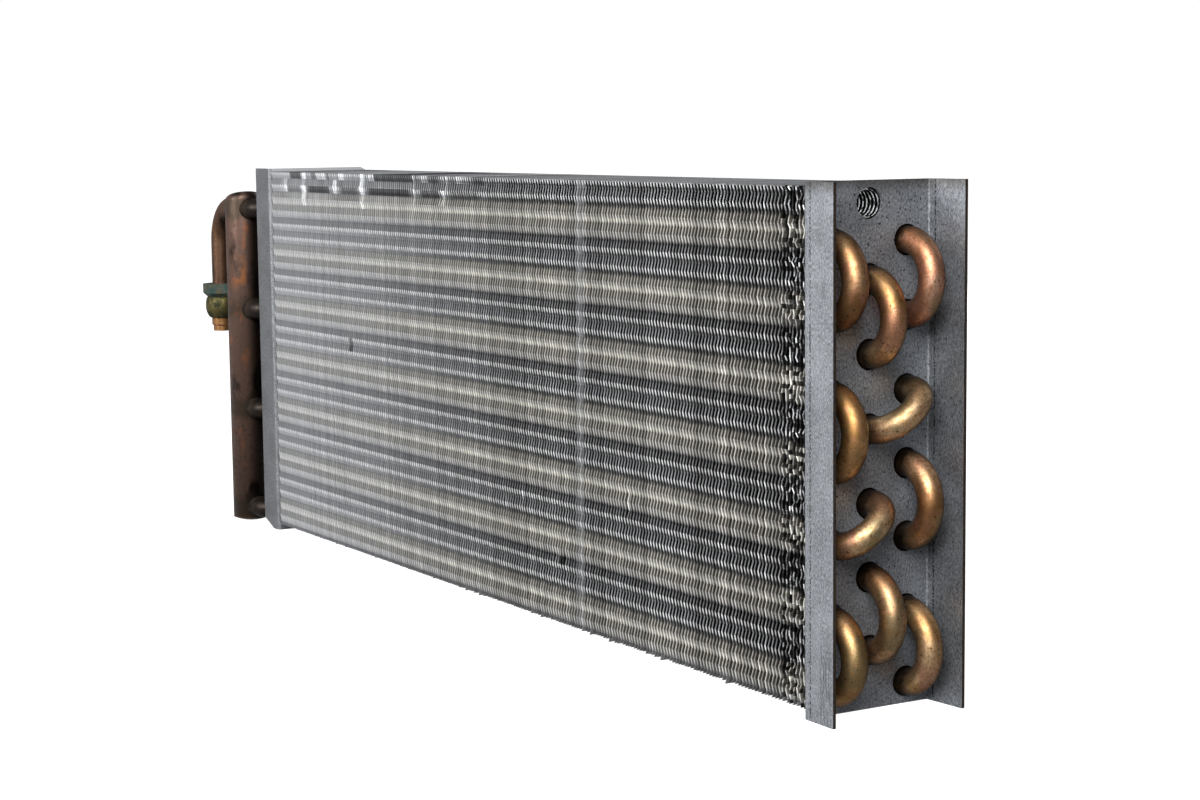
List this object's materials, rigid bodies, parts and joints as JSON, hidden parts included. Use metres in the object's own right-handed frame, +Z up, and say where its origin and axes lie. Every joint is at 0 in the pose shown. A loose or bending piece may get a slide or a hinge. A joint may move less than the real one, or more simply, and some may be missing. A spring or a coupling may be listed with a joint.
{
  "type": "evaporator coil",
  "caption": "Finned-tube evaporator coil: copper hairpins through a pack of thin aluminium fins between two folded end plates, with headers at the far end.",
  "frame": {"origin": "middle of the foot of the whole coil, on the surface that it stands on", "axes": "+X along the tubes to the hairpin bends, +Y along the air flow from the front face to the back, +Z up"},
  "size_m": [0.5509, 0.0686, 0.1806],
  "materials": {
    "galvanised_sheet": "dull galvanised",
    "fin_aluminium": "mill",
    "bend_copper": "golden brown oxide",
    "aged_copper": "brown oxide",
    "patina_copper": "dark brown patina",
    "verdigris_brass": "verdigris",
    "aged_brass": "tarnished"
  },
  "bodies": {
    "root": {"end_plate_near": "galvanised_sheet", "end_plate_far": "galvanised_sheet", "fin_pack": "fin_aluminium", "hairpin_01": "bend_copper", "hairpin_02": "bend_copper", "hairpin_03": "bend_copper", "hairpin_04": "bend_copper", "hairpin_05": "bend_copper", "hairpin_06": "bend_copper", "hairpin_07": "bend_copper", "hairpin_08": "bend_copper", "hairpin_09": "bend_copper", "hairpin_10": "bend_copper", "return_bend_01": "aged_copper", "return_bend_02": "aged_copper", "return_bend_03": "aged_copper", "return_bend_04": "aged_copper", "return_bend_05": "aged_copper", "return_bend_06": "aged_copper", "front_header": "patina_copper", "front_header_top_cap": "patina_copper", "front_header_bottom_cap": "patina_copper", "front_stub_01": "aged_copper", "front_stub_02": "aged_copper", "front_stub_03": "aged_copper", "front_stub_04": "aged_copper", "connection_pipe": "patina_copper", "connection_nut": "verdigris_brass", "connection_body": "aged_brass", "connection_tail": "bend_copper", "rear_header": "patina_copper", "rear_header_top_cap": "patina_copper", "rear_header_bottom_cap": "patina_copper", "rear_stub_01": "aged_copper", "rear_stub_02": "aged_copper", "rear_stub_03": "aged_copper", "rear_stub_04": "aged_copper", "rear_outlet_pipe": "aged_copper"}
  },
  "joints": []
}
